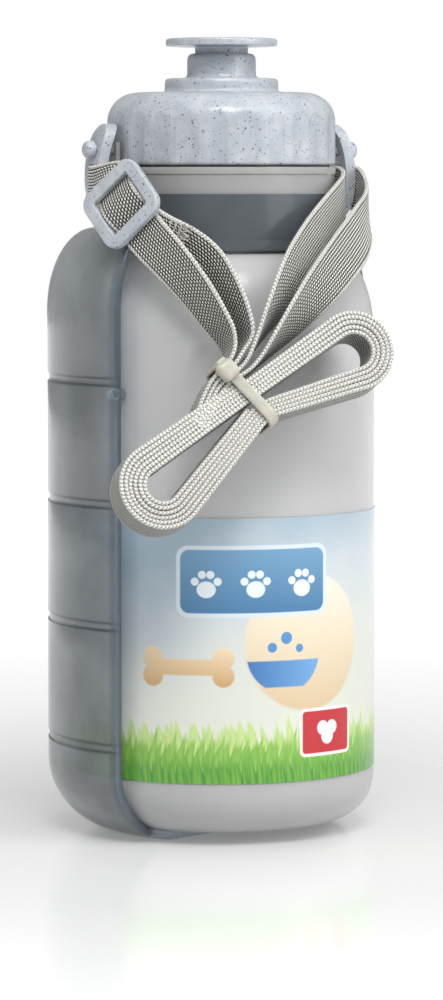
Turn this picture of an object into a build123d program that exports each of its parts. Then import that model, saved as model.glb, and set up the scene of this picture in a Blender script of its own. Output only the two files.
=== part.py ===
from build123d import *
import os
from math import asin, atan2, ceil, cos, dist, radians, sin, sqrt

# Portable dog drinking set: a squeeze bottle, a half-shell bowl clipped round its back, and a carrying strap.
# Millimetres, +Z up. The origin is on the bottle's axis, on the surface that the set stands on.
# The bowl is behind the bottle, towards +Y, and pulls off that way.

# Clearances between pieces that move on each other
running_gap = 0.05
loose_gap = 0.3
moulding_gap = 0.5

# Bowl
bowl_gap = 3.5
bowl_wall = 2.2
bowl_rise = 6.5
bowl_rim_offset = 8.6
bowl_foot_radius = 20.0
bowl_shoulder_depth = 13.0
bowl_shoulder_height = 22.0
bowl_groove_count = 4
bowl_groove_first = 25.9
bowl_groove_step = 32.1
bowl_groove_height = 2.3
bowl_groove_depth = 0.4
rim_nub_height = 119.0
rim_nub_radius = 1.6

# Bottle
bottle_radius = 41.2
bottle_wall = 1.2
bottle_base = bowl_wall + moulding_gap
bottle_heel = 12.0
bottle_side = 128.8
bottle_shoulder = 24.0
neck_step = 10.8
neck_height = 20.7
ring_seat_step = 1.9
ring_seat_height = 2.4
finish_step = 1.3
finish_height = 12.0
finish_wall = 1.8
dent_sphere = 30.0
dent_depth = 1.6
dent_edge = 5.0
dent_height = 124.0
dent_azimuth = 47.0

# Thread between the bottle and the cap
thread_pitch = 4.0
thread_turns = 1.75
thread_lead = 3.0
thread_depth = 0.9
thread_width = 1.3
thread_root = 0.4

# Label
label_thickness = 0.15
label_bond = 0.05
label_low = 17.3
label_height = 69.7
label_seam = 1.0

# Collar round the neck, which the bowl's end wall rests on
collar_height = 14.7
collar_wall = 1.2
collar_lip = 0.4
collar_lip_height = 2.6
collar_lift = 0.8

# Cap
cap_wall = 2.25
cap_height = 19.3
cap_crown = 2.0
cap_ledge = 4.4
cap_corner = 8.0
flute_count = 24
flute_radius = 12.0
flute_depth = 0.5
step_radius = 15.2
step_height = 3.8
housing_radius = 9.2
housing_height = 6.7
housing_lip = 1.0
seal_thickness = 0.9
seal_width = 8.1

# Push-pull spout
spout_radius = 7.1
spout_wall = 1.5
spout_bead = 0.7
spout_bead_height = 1.2
spout_neck = 1.9
flange_radius = 14.9
flange_thickness = 2.0
nozzle_radius = 2.25
water_hole_radius = 1.1
water_hole_count = 6

# Strap ring, ears and pins
ring_thickness = 1.8
ear_azimuth = -18.0
ear_stand_off = 5.95
ear_height = 25.4
ear_width = 9.0
ear_thickness = 2.8
ear_bow_radius = 28.0
ear_rise = 0.6
ear_bow_offset = 1.3
slot_width = 3.0
pin_rise = 6.4
pin_radius = 1.5
pin_head_radius = 2.4
pin_head_height = 2.6
lug_width = 6.0
lug_thickness = 1.1

# Webbing strap
strap_width = 12.0
strap_thickness = 1.1
slot_height = strap_width + 1.0
slot_drop = 3.8

# Slider that shortens the strap
slider_length = 18.6
slider_width = 19.4
slider_thickness = 2.2
slider_corner = 4.0
slider_window = 11.4
slider_bar = 2.4
slider_bar_thickness = 0.9

# Bar tack that sews the strap's end
tack_rows = 3
tack_pitch = 1.6
tack_thread = 0.5

# Hank: the strap's length, wound in two lobes and tied at the waist
hank_azimuth = 43.0
hank_turns = 5
hank_pitch = 1.22
hank_thickness = 0.8
left_lobe_angle = 224.9
left_lobe_length = 33.6
left_lobe_hole = 4.6
right_lobe_angle = 28.4
right_lobe_length = 30.6
right_lobe_hole = 4.4
waist_pitch = 1.05
waist_bend = 16.0
waist_across = 5.5
waist_stand_off = 7.2
waist_drop = 60.4
hank_facing = (0.24, 0.93, 0.28)

# Cable tie
tie_band = 1.0
tie_width = 3.2
tie_head = 4.4
tie_tail = 1.0

neck_radius = bottle_radius - neck_step
ring_seat_radius = neck_radius - ring_seat_step
finish_radius = ring_seat_radius - finish_step
cap_bore_radius = finish_radius + thread_depth + loose_gap
cap_radius = cap_bore_radius + cap_wall
cap_dome_radius = cap_bore_radius - cap_ledge
seal_radius = cap_bore_radius - loose_gap
ring_outer_radius = cap_radius - running_gap
neck_foot = bottle_base + bottle_side + bottle_shoulder
ring_seat = neck_foot + neck_height
finish_foot = ring_seat + ring_seat_height
finish_top = finish_foot + finish_height
cap_foot = finish_foot
cap_inside_top = finish_top + seal_thickness
cap_top = cap_foot + cap_height
cap_dome_top = cap_top - cap_crown
step_top = cap_top + step_height
housing_top = step_top + housing_height
flange_foot = housing_top + spout_neck
spout_top = flange_foot + flange_thickness
stem_foot = cap_top
chamber_floor = cap_top - moulding_gap
lip_foot = housing_top - housing_lip
collar_radius = neck_radius + collar_wall
collar_foot = neck_foot + collar_lift
bowl_radius = bottle_radius + bowl_gap + bowl_wall
bowl_height = neck_foot + bowl_rise
bowl_notch_radius = collar_radius + moulding_gap
bowl_top_radius = bowl_radius - bowl_shoulder_depth
ear_radius = cap_radius + ear_stand_off
ear_middle = ring_seat + ear_rise
ear_bow_middle = ear_middle - ear_bow_offset
pin_height = ring_seat + pin_rise
slot_middle = ring_seat - slot_drop

os.makedirs("parts", exist_ok=True)


def write(part, name):
    part.label = name
    export_step(part, f"parts/{name}.step")


def shell_profile(radius, foot, foot_radius, side_top, top_radius, top):
    """Half outline of a round shell with a rounded foot and an elliptical shoulder."""
    Polyline((0, foot), (radius - foot_radius, foot))
    CenterArc((radius - foot_radius, foot + foot_radius), foot_radius, -90, 90)
    Line((radius, foot + foot_radius), (radius, side_top))
    EllipticalCenterArc((top_radius, side_top), radius - top_radius, top - side_top, 0, arc_size=90)


def around(azimuth, radius, height):
    """Place at an angle from +X round the bottle's axis."""
    return Vector(radius * cos(radians(azimuth)), radius * sin(radians(azimuth)), height)


# Hank's frame: across to the right, outward from the bottle, and up
across = Vector(cos(radians(hank_azimuth)), -sin(radians(hank_azimuth)), 0)
outward = Vector(-sin(radians(hank_azimuth)), -cos(radians(hank_azimuth)), 0)
upward = Vector(0, 0, 1)


def front(u, w, z):
    """Place or direction in the hank's frame."""
    return across * u + outward * w + upward * z


def draped(u, w, drop):
    """Place of the strap, all in bottle radii: across, outward, and down from the ring's seat."""
    return front(u * bottle_radius, w * bottle_radius, ring_seat - drop * bottle_radius)


# Bowl: a round shell cut by its rim plane, with a notch in its top for the collar
bowl_side_top = bowl_height - bowl_shoulder_height
with BuildPart() as bowl:
    with BuildSketch(Plane.XZ):
        with BuildLine():
            shell_profile(bowl_radius, 0, bowl_foot_radius, bowl_side_top, bowl_top_radius, bowl_height)
            Polyline((bowl_top_radius, bowl_height), (0, bowl_height), (0, 0))
        make_face()
    revolve(axis=Axis.Z)
    with BuildSketch(Plane.XZ):
        with BuildLine():
            shell_profile(
                bowl_radius - bowl_wall,
                bowl_wall,
                bowl_foot_radius - bowl_wall,
                bowl_side_top,
                bowl_top_radius,
                bowl_height - bowl_wall,
            )
            Polyline(
                (bowl_top_radius, bowl_height - bowl_wall),
                (0, bowl_height - bowl_wall),
                (0, bowl_wall),
            )
        make_face()
    revolve(axis=Axis.Z, mode=Mode.SUBTRACT)
    for groove in range(bowl_groove_count):
        with BuildSketch(Plane.XY.offset(bowl_groove_first + groove * bowl_groove_step)):
            Circle(bowl_radius + bowl_wall)
            Circle(bowl_radius - bowl_groove_depth, mode=Mode.SUBTRACT)
        extrude(amount=bowl_groove_height / 2, both=True, mode=Mode.SUBTRACT)
    with BuildSketch(Plane.XY.offset(bowl_height - 2 * bowl_wall)):
        with Locations((0, -bowl_radius / 2)):
            Rectangle(2 * bowl_notch_radius, bowl_radius)
        Circle(bowl_notch_radius)
    extrude(amount=3 * bowl_wall, mode=Mode.SUBTRACT)
    split(bisect_by=Plane.XZ.offset(bowl_rim_offset), keep=Keep.BOTTOM)
    rim_half_width = sqrt(bowl_radius**2 - bowl_rim_offset**2)
    nub_reach = rim_half_width - bottle_radius - moulding_gap
    for side in (-1, 1):
        nub_across = side * (rim_half_width - bowl_wall / 2)
        nub_plane = Plane(
            origin=(nub_across, rim_nub_radius * 1.3 - bowl_rim_offset, rim_nub_height),
            x_dir=(0, 1, 0),
            z_dir=(-side, 0, 0),
        )
        with BuildSketch(nub_plane):
            Circle(rim_nub_radius)
        extrude(amount=nub_reach - bowl_wall / 2)
write(bowl.part, "bowl")

# Bottle: blown shell with a dent for the thumb, and a threaded finish at its mouth
dent_centre = around(
    -90 - dent_azimuth, bottle_radius + dent_sphere - dent_depth, dent_height
)


def bottle_solid(inset):
    """Round body, shoulder and neck, drawn in by the inset."""
    radius = bottle_radius - inset
    neck = neck_radius - inset
    top = ring_seat - inset
    with BuildPart() as solid:
        with BuildSketch(Plane.XZ):
            with BuildLine():
                shell_profile(
                    radius,
                    bottle_base + inset,
                    bottle_heel - inset,
                    bottle_base + bottle_side,
                    neck,
                    neck_foot - inset,
                )
                Polyline((neck, neck_foot - inset), (neck, top), (0, top), (0, bottle_base + inset))
            make_face()
        revolve(axis=Axis.Z)
        with Locations(dent_centre):
            Sphere(dent_sphere + inset, mode=Mode.SUBTRACT)
        dent_reach = dent_sphere + inset + 0.01
        dent_rim = [edge for edge in solid.edges() if (edge @ 0.5 - dent_centre).length < dent_reach]
        fillet(dent_rim, dent_edge - inset)
    return solid.part


def thread_ridge(radius, direction, foot):
    """One-start helical ridge on a wall, pointing out (1) or in (-1), sunk into the wall at its root."""
    with BuildPart() as ridge:
        with BuildLine() as path:
            Helix(
                pitch=thread_pitch,
                height=thread_pitch * thread_turns,
                radius=radius,
                center=(0, 0, foot),
            )
        with BuildSketch(Plane(origin=(radius, 0, foot), x_dir=(1, 0, 0), z_dir=(0, 1, 0))):
            with BuildLine():
                Polyline(
                    (-direction * thread_root, -thread_width / 2),
                    (direction * thread_depth, -thread_width / 4),
                    (direction * thread_depth, thread_width / 4),
                    (-direction * thread_root, thread_width / 2),
                    close=True,
                )
            make_face()
        sweep(path=path.line, is_frenet=True)
    return ridge.part


outer_thread_foot = finish_foot + thread_lead
inner_thread_foot = outer_thread_foot - thread_pitch / 2

with BuildPart() as bottle:
    add(bottle_solid(0))
    with BuildSketch(Plane.XY.offset(ring_seat)):
        Circle(ring_seat_radius)
    extrude(amount=ring_seat_height - loose_gap)
    with BuildSketch(Plane.XY.offset(ring_seat)):
        Circle(finish_radius)
    extrude(amount=finish_top - ring_seat)
    add(bottle_solid(bottle_wall), mode=Mode.SUBTRACT)
    with BuildSketch(Plane.XY.offset(ring_seat - 2 * bottle_wall)):
        Circle(finish_radius - finish_wall)
    extrude(amount=finish_top - ring_seat + 2 * bottle_wall, mode=Mode.SUBTRACT)
    add(thread_ridge(finish_radius, 1, outer_thread_foot))
write(bottle.part, "bottle")

# Label: one wrap of film round the bottle, with its seam behind the bowl
with BuildPart() as label:
    with BuildSketch(Plane.XY.offset(label_low)):
        Circle(bottle_radius + label_bond + label_thickness)
        Circle(bottle_radius + label_bond, mode=Mode.SUBTRACT)
        with Locations((0, bottle_radius)):
            Rectangle(label_seam, bottle_wall, mode=Mode.SUBTRACT)
    extrude(amount=label_height)
write(label.part, "label")

# Collar: snaps round the neck, and its lip carries the bowl's end wall
with BuildPart() as neck_collar:
    with BuildSketch(Plane.XZ):
        with BuildLine():
            Polyline(
                (neck_radius, collar_foot),
                (collar_radius + collar_lip, collar_foot),
                (collar_radius, collar_foot + collar_lip_height),
                (collar_radius - collar_wall / 4, collar_foot + collar_height),
                (neck_radius, collar_foot + collar_height),
                close=True,
            )
        make_face()
    revolve(axis=Axis.Z)
write(neck_collar.part, "neck_collar")

# Cap: fluted shell, step, and a housing with the post that closes the spout
with BuildPart() as cap:
    with BuildSketch(Plane.XZ):
        with BuildLine():
            Polyline((0, cap_foot), (cap_radius, cap_foot), (cap_radius, cap_top - cap_corner))
            CenterArc((cap_radius - cap_corner, cap_top - cap_corner), cap_corner, 0, 90)
            Polyline((cap_radius - cap_corner, cap_top), (0, cap_top), (0, cap_foot))
        make_face()
    revolve(axis=Axis.Z)
    with BuildSketch(Plane.XY.offset(cap_foot)):
        with PolarLocations(cap_radius + flute_radius - flute_depth, flute_count):
            Circle(flute_radius)
    extrude(amount=cap_top - cap_foot, mode=Mode.SUBTRACT)
    with BuildSketch(Plane.XY.offset(cap_foot)):
        Circle(cap_bore_radius)
    extrude(amount=cap_inside_top - cap_foot, mode=Mode.SUBTRACT)
    with BuildSketch(Plane.XY.offset(cap_inside_top)):
        Circle(cap_dome_radius)
    extrude(amount=cap_dome_top - cap_inside_top, mode=Mode.SUBTRACT)
    with BuildSketch(Plane.XY.offset(cap_top)):
        Circle(step_radius)
    extrude(amount=step_height)
    fillet(cap.edges().group_by(Axis.Z)[-1], step_height / 4)
    with BuildSketch(Plane.XY.offset(step_top)):
        Circle(housing_radius)
    extrude(amount=housing_height)
    fillet(cap.edges().group_by(Axis.Z)[-1], housing_radius - spout_radius - moulding_gap)
    with BuildSketch(Plane.XY.offset(chamber_floor)):
        Circle(spout_radius + spout_bead + running_gap)
    extrude(amount=lip_foot - chamber_floor, mode=Mode.SUBTRACT)
    with BuildSketch(Plane.XY.offset(chamber_floor)):
        Circle(spout_radius + running_gap)
    extrude(amount=housing_top - chamber_floor, mode=Mode.SUBTRACT)
    with BuildSketch(Plane.XY.offset(cap_dome_top)):
        with PolarLocations((nozzle_radius + spout_radius) / 2, water_hole_count):
            Circle(water_hole_radius)
    extrude(amount=chamber_floor - cap_dome_top, mode=Mode.SUBTRACT)
    with BuildSketch(Plane.XY.offset(chamber_floor)):
        Circle(nozzle_radius - running_gap)
    extrude(amount=spout_top - chamber_floor)
    add(thread_ridge(cap_bore_radius, -1, inner_thread_foot))
write(cap.part, "cap")

# Seal: flat washer between the bottle's mouth and the cap
with BuildPart() as cap_seal:
    with BuildSketch(Plane.XY.offset(finish_top)):
        Circle(seal_radius)
        Circle(seal_radius - seal_width, mode=Mode.SUBTRACT)
    extrude(amount=seal_thickness)
write(cap_seal.part, "cap_seal")

# Spout: tube with a bead that stops it in the housing, and a flange to pull
with BuildPart() as spout:
    with BuildSketch(Plane.XY.offset(stem_foot)):
        Circle(spout_radius)
    extrude(amount=flange_foot - stem_foot)
    with BuildSketch(Plane.XY.offset(stem_foot)):
        Circle(spout_radius + spout_bead)
    extrude(amount=spout_bead_height)
    with BuildSketch(Plane.XY.offset(flange_foot)):
        Circle(flange_radius)
    extrude(amount=flange_thickness)
    fillet(spout.edges().group_by(Axis.Z)[-1], flange_thickness / 3)
    with BuildSketch(Plane.XY.offset(stem_foot)):
        Circle(spout_radius - spout_wall)
    extrude(amount=flange_foot - stem_foot - spout_wall, mode=Mode.SUBTRACT)
    with BuildSketch(Plane.XY.offset(stem_foot)):
        Circle(nozzle_radius)
    extrude(amount=spout_top - stem_foot, mode=Mode.SUBTRACT)
write(spout.part, "spout")

# Strap ring: lies on the neck's step, with a raised lug at each ear
ring_foot = ring_seat + running_gap
lug_inner_radius = cap_radius + loose_gap
lug_outer_radius = lug_inner_radius + lug_thickness
ear_directions = {"left": 180 + ear_azimuth, "right": ear_azimuth}
with BuildPart() as strap_ring:
    with BuildSketch(Plane.XY.offset(ring_foot)):
        Circle(ring_outer_radius)
        for direction in ear_directions.values():
            with Locations(Location((0, 0, 0), direction)):
                with Locations((lug_outer_radius / 2, 0)):
                    Rectangle(lug_outer_radius, lug_width)
        Circle(ring_seat_radius + loose_gap, mode=Mode.SUBTRACT)
    extrude(amount=ring_thickness)
    with BuildSketch(Plane.XY.offset(ring_foot)):
        for direction in ear_directions.values():
            with Locations(Location((0, 0, 0), direction)):
                with Locations(((lug_inner_radius + lug_outer_radius) / 2, 0)):
                    Rectangle(lug_thickness, lug_width)
    extrude(amount=pin_height + lug_width / 3 - ring_foot)
    for direction in ear_directions.values():
        with BuildSketch(Plane(origin=around(direction, 0, pin_height), z_dir=around(direction, 1, 0))):
            Circle(pin_radius + running_gap)
        extrude(amount=lug_outer_radius, mode=Mode.SUBTRACT)
write(strap_ring.part, "strap_ring")

# Ears: bowed oval plates with a slot for the webbing, each held by a round-headed pin
slot_low = ear_bow_middle - slot_middle + slot_height / 2
ear_bow_drop = ear_bow_radius - sqrt(ear_bow_radius**2 - slot_low**2)
pin_bow = sqrt(ear_bow_radius**2 - (pin_height - ear_bow_middle) ** 2) - ear_bow_radius
ear_outer_at_pin = ear_radius + pin_bow + ear_thickness / 2
for side, direction in ear_directions.items():
    radial = around(direction, 1, 0)
    bow_centre = around(direction, ear_radius - ear_bow_radius, ear_bow_middle)
    bow_plane = Plane(origin=bow_centre, x_dir=radial, z_dir=radial.cross(upward))
    face_plane = Plane(
        origin=around(direction, ear_radius - ear_bow_radius, ear_middle),
        x_dir=upward.cross(radial),
        z_dir=radial,
    )
    slot_plane = Plane(
        origin=around(direction, 0, slot_middle), x_dir=upward.cross(radial), z_dir=radial
    )
    with BuildPart() as ear:
        with BuildSketch(bow_plane):
            Circle(ear_bow_radius + ear_thickness / 2)
            Circle(ear_bow_radius - ear_thickness / 2, mode=Mode.SUBTRACT)
        extrude(amount=ear_width / 2, both=True)
        with BuildSketch(face_plane):
            SlotOverall(ear_height, ear_width, rotation=90)
        extrude(amount=2 * ear_bow_radius, mode=Mode.INTERSECT)
        with BuildSketch(slot_plane):
            SlotOverall(slot_height, slot_width, rotation=90)
        extrude(amount=bowl_radius, mode=Mode.SUBTRACT)
        with BuildSketch(Plane(origin=around(direction, 0, pin_height), z_dir=radial)):
            Circle(pin_radius + running_gap)
        extrude(amount=bowl_radius, mode=Mode.SUBTRACT)
    write(ear.part, f"{side}_ear")
    with BuildPart() as pin:
        with BuildSketch(Plane(origin=around(direction, lug_inner_radius, pin_height), z_dir=radial)):
            Circle(pin_radius)
        extrude(amount=ear_outer_at_pin - lug_inner_radius + moulding_gap)
        head_foot = around(direction, ear_outer_at_pin + moulding_gap, pin_height)
        head_plane = Plane(origin=head_foot, z_dir=radial)
        with BuildSketch(head_plane):
            Circle(pin_head_radius)
        extrude(amount=pin_head_height)
        head_edge = pin.edges().filter_by(GeomType.CIRCLE).sort_by(Axis(head_plane.origin, radial))[-1]
        fillet(head_edge, pin_head_height * 0.6)
    write(pin.part, f"{side}_ear_pin")

# Hank: one flat strip that runs round both lobes and steps out by a pitch each turn
facing = front(*hank_facing).normalized()
hank_x = (across - facing * across.dot(facing)).normalized()
waist = front(waist_across, bottle_radius + waist_stand_off, ring_seat - waist_drop)
hank_plane = Plane(origin=waist, x_dir=hank_x, z_dir=facing)
lobes = {
    "left": (left_lobe_angle, left_lobe_length, left_lobe_hole),
    "right": (right_lobe_angle, right_lobe_length, right_lobe_hole),
}


def lobe_point(side, x, y):
    """Point in the hank's plane from a lobe's own axis: x along it, y to its left."""
    angle = radians(lobes[side][0])
    return Vector(x * cos(angle) - y * sin(angle), x * sin(angle) + y * cos(angle), 0)


def lobe_radius(side, step):
    """Radius of a turn's end, a pitch more for each turn inside it."""
    return lobes[side][2] + step * hank_pitch / 2


def waist_row(side, step, sign):
    """Which run of its bundle this is at the waist, and whether the bundle is the upper one."""
    upper = (side == "left") == (sign < 0)
    row = (step + 1) // 2 if side == "right" and not upper else step // 2
    return row, upper


def waist_point(side, step, sign):
    """Where a run crosses the waist: each bundle's runs lie a waist pitch apart."""
    row, upper = waist_row(side, step, sign)
    reach = (row + 0.5) * waist_pitch
    return lobe_point("left", 0, -reach if upper else reach)


def lobe_line(side, step, sign):
    """A run from the waist to the lobe's end, on its left (1) or right (-1), as a point and a direction."""
    start = waist_point(side, step, sign)
    to_centre = lobe_point(side, lobes[side][1], 0) - start
    spread = asin(lobe_radius(side, step) / to_centre.length)
    heading = atan2(to_centre.Y, to_centre.X) + sign * spread
    return start, Vector(cos(heading), sin(heading), 0)


def crossing(first, second):
    """Where two lines of the hank's plane cross."""
    (p, d), (q, e) = first, second
    t = ((q.X - p.X) * e.Y - (q.Y - p.Y) * e.X) / (d.X * e.Y - d.Y * e.X)
    return p + d * t


def lobe_end(side, step):
    """The two corners round a lobe's end, and their radius."""
    radius = lobe_radius(side, step)
    end_line = (lobe_point(side, lobes[side][1] + radius, 0), lobe_point(side, 0, 1))
    corners = [crossing(lobe_line(side, step, sign), end_line) for sign in (1, -1)]
    return corners, 0.995 * radius


hank_steps = 2 * hank_turns + 1
hank_corners = []
hank_radii = []
for step in range(hank_steps):
    side = ("left", "right")[step % 2]
    if step:
        row, upper = waist_row(side, step, 1)
        growth = row * waist_pitch
        hank_corners.append(waist_point(side, step, 1))
        hank_radii.append(3 * waist_bend + growth if upper else waist_bend - growth)
    corners, radius = lobe_end(side, step)
    hank_corners += corners
    hank_radii += [radius, radius]
hank_start = lobe_line("left", 0, 1)
hank_end = lobe_line("left", hank_steps - 1, -1)
hank_first = hank_start[0] + hank_start[1] * tie_width
hank_last = hank_end[0] + hank_end[1] * tie_width / 2
hank_route = [hank_first, *hank_corners, hank_last]
with BuildPart() as strap_hank:
    with BuildLine(hank_plane) as hank_path:
        FilletPolyline(*[(p.X, p.Y) for p in hank_route], radius=hank_radii)
    hank_wire = hank_path.wires()[0]
    hank_section = Plane(origin=hank_wire @ 0, x_dir=facing, z_dir=hank_wire % 0)
    with BuildSketch(hank_section):
        with Locations((strap_width / 2, 0)):
            Rectangle(strap_width, hank_thickness)
    sweep(path=hank_wire)
write(strap_hank.part, "strap_hank")

# Length of the wound strip and its least gap to itself, from points along it
hank_length = hank_wire.length
gap_step = 0.4
gap_count = ceil(hank_length / gap_step)
gap_points = [tuple(hank_wire.position_at(i / gap_count)) for i in range(gap_count + 1)]
gap_skip = ceil(4 * left_lobe_hole / gap_step)
least_gap = min(
    dist(gap_points[i], gap_points[j])
    for i in range(len(gap_points))
    for j in range(i + gap_skip, len(gap_points))
)
print(f"hank strip {hank_length:.0f} mm long, least gap to itself {least_gap - hank_thickness:.2f} mm")


def in_hank(x, y, depth=strap_width / 2):
    """Place beside the left lobe's root: x towards the lobe, y to its left, depth from the back edges."""
    p = lobe_point("left", x, y)
    return hank_plane.from_local_coords(Vector(p.X, p.Y, depth))


# Slider: rounded frame with a thin bar across the back of its window
slider_normal = front(-0.56, 0.8, 0.2).normalized()
slider_run = front(0.55, 0.62, -0.82)
slider_run = (slider_run - slider_normal * slider_run.dot(slider_normal)).normalized()
slider_middle = draped(-0.629, 0.898, 0.187)
slider_plane = Plane(origin=slider_middle, x_dir=slider_run, z_dir=slider_normal)
with BuildPart() as slider:
    with BuildSketch(slider_plane):
        RectangleRounded(slider_length, slider_width, slider_corner)
        RectangleRounded(slider_window, strap_width + moulding_gap, slider_corner / 10, mode=Mode.SUBTRACT)
    extrude(amount=slider_thickness / 2, both=True)
    fillet(slider.edges().group_by(Axis(slider_middle, slider_normal))[-1], slider_thickness / 4)
    with BuildSketch(slider_plane.offset(-slider_thickness / 2)):
        Rectangle(slider_bar, strap_width + 2 * moulding_gap)
    extrude(amount=slider_bar_thickness)
write(slider.part, "slider")


def by_slider(x, depth):
    """Place on the slider's middle line: x along the webbing, depth in front of its middle plane."""
    return slider_plane.from_local_coords(Vector(x, 0, depth))


def by_ear(side, radius, forward, height=slot_middle):
    """Place beside an ear: its radius from the bottle's axis, and how far it is in front of the slot."""
    direction = ear_directions[side]
    sign = 1 if side == "left" else -1
    tangent = around(direction + sign * 90, 1, 0)
    return around(direction, radius, height) + tangent * forward


# Free legs of the strap: points of their middle lines, and the way their width lies at each end
tie_layer = hank_thickness / 2 + loose_gap + strap_thickness / 2
stack_top = (hank_end[0]).length
legs = ["strap_right_outer", "strap_right_inner", "strap_left_back", "strap_left_front"]


def under_tie(name):
    """Last three points of a leg, which close up on the hank's top run under the tie."""
    heading = hank_end[1]
    slope = -heading.dot(lobe_point("left", 0, 1)) / heading.dot(lobe_point("left", 1, 0))
    points = []
    stations = (
        (-2 * tie_width, 4 * loose_gap),
        (-tie_width / 2, loose_gap),
        (tie_width / 2, loose_gap / 2),
    )
    for x, gap in stations:
        level = stack_top + tie_layer + legs.index(name) * (strap_thickness + gap)
        points.append(in_hank(x, -level - x * slope))
    return points


bar_clear = strap_thickness / 2 + loose_gap / 2
bar_reach = (ear_width - slot_width) / 2


def round_bar(side, sign):
    """Four points from the slot round the ear's front bar, on its outer (1) or inner (-1) side."""
    face = ear_radius + sign * (ear_thickness / 2 + bar_clear)
    inward = 0 if sign > 0 else ear_bow_drop
    return [
        by_ear(side, ear_radius, 0),
        by_ear(side, ear_radius + sign * ear_thickness / 2, 0),
        by_ear(side, face - inward, slot_width / 4),
        by_ear(side, face - inward, slot_width / 2 + bar_reach + strap_thickness),
    ]


slider_lean = slider_plane.y_dir
second_layer = strap_thickness + 3 * loose_gap
bar_side = slider_window / 2 + moulding_gap
bar_top = slider_bar / 2 + 2 * loose_gap
behind_slider = slider_thickness / 2 + strap_thickness / 2 + 2 * loose_gap
over_bar = slider_bar_thickness - slider_thickness / 2 + strap_thickness / 2 + loose_gap / 2
leg_routes = {
    "strap_left_front": [
        *round_bar("left", 1),
        by_slider(-slider_length / 2 - 1, -behind_slider - 1),
        by_slider(-bar_side, -behind_slider),
        by_slider(-bar_top, over_bar),
        by_slider(bar_top, over_bar),
        by_slider(bar_side, -behind_slider),
        by_slider(slider_length / 2 + 1, -behind_slider),
        draped(-0.313, 1.141, 0.544),
        draped(-0.163, 1.209, 0.723),
        draped(-0.036, 1.228, 0.908),
        draped(0.032, 1.221, 1.019),
    ],
    "strap_left_back": [
        *round_bar("left", -1),
        by_slider(-slider_length / 2 - 1, -behind_slider - 3 * second_layer),
        by_slider(0, -behind_slider - second_layer),
        by_slider(slider_length / 2 - 1, -behind_slider - second_layer),
        draped(-0.121, 1.117, 0.502),
        draped(0.024, 1.189, 0.718),
        draped(0.121, 1.204, 0.939),
        draped(0.143, 1.209, 1.049),
    ],
    "strap_right_inner": [
        *round_bar("right", -1),
        draped(0.801, 0.073, 0.138),
        draped(0.743, 0.316, 0.216),
        draped(0.655, 0.570, 0.320),
        draped(0.558, 0.825, 0.451),
        draped(0.451, 1.051, 0.609),
        draped(0.354, 1.170, 0.801),
        draped(0.262, 1.204, 0.966),
        draped(0.204, 1.221, 1.068),
    ],
    "strap_right_outer": [
        *round_bar("right", 1),
        draped(0.959, 0.049, 0.235),
        draped(0.905, 0.340, 0.350),
        draped(0.825, 0.631, 0.466),
        draped(0.704, 0.905, 0.612),
        draped(0.563, 1.100, 0.779),
        draped(0.417, 1.175, 0.956),
        draped(0.291, 1.204, 1.102),
    ],
}
leg_leans = {
    "strap_left_front": [upward] * 4 + [slider_lean] * 6,
    "strap_left_back": [upward] * 4 + [slider_lean] * 3,
    "strap_right_inner": [
        *[upward] * 5,
        front(-0.1, 0.1, 0.95),
        front(-0.3, 0.35, 0.88),
        front(-0.45, 0.5, 0.74),
        front(-0.45, 0.6, 0.66),
        front(-0.25, 0.75, 0.6),
        front(0.05, 0.85, 0.5),
        front(0.15, 0.9, 0.4),
    ],
    "strap_right_outer": [
        *[upward] * 5,
        front(-0.35, 0.1, 0.93),
        front(-0.6, 0.2, 0.77),
        front(-0.62, 0.4, 0.68),
        front(-0.5, 0.62, 0.6),
        front(-0.2, 0.8, 0.5),
        front(0.1, 0.9, 0.4),
    ],
}
tie_leans = 3


def webbing(name):
    """A flat strip through the leg's points, its width turning steadily between the leans it is given."""
    route = leg_routes[name] + under_tie(name)
    leans = leg_leans[name]
    free = len(route) - len(leans) - tie_leans
    start = leans[-1]
    for i in range(free):
        share = (i + 1) / (free + 1)
        leans = leans + [start * (1 - share) + facing * share]
    leans = leans + [facing] * tie_leans
    with BuildPart() as strip:
        for i, (point, lean) in enumerate(zip(route, leans)):
            before = route[max(i - 1, 0)]
            after = route[min(i + 1, len(route) - 1)]
            along = (after - before).normalized()
            across_strip = (lean - along * lean.dot(along)).normalized()
            with BuildSketch(Plane(origin=point, x_dir=across_strip, z_dir=along)):
                Rectangle(strap_width, strap_thickness)
        loft(ruled=True)
    return strip.part


for name in legs:
    write(webbing(name), name)

# Bar tack: three rows of thread sewn across the strap's folded end
tack_start, tack_end = leg_routes["strap_left_back"][6:8]
tack_run = (tack_end - tack_start).normalized()
tack_lean = (slider_lean - tack_run * slider_lean.dot(tack_run)).normalized()
tack_plane = Plane(
    origin=tack_start + (tack_end - tack_start) / 2, x_dir=tack_run, z_dir=tack_run.cross(tack_lean)
)
with BuildPart() as strap_stitching:
    with BuildSketch(tack_plane.offset(strap_thickness / 2 - tack_thread / 2)):
        with GridLocations(tack_pitch, 0, tack_rows, 1):
            Rectangle(tack_thread, strap_width - 4 * tack_thread)
    extrude(amount=tack_thread)
write(strap_stitching.part, "strap_stitching")

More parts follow.
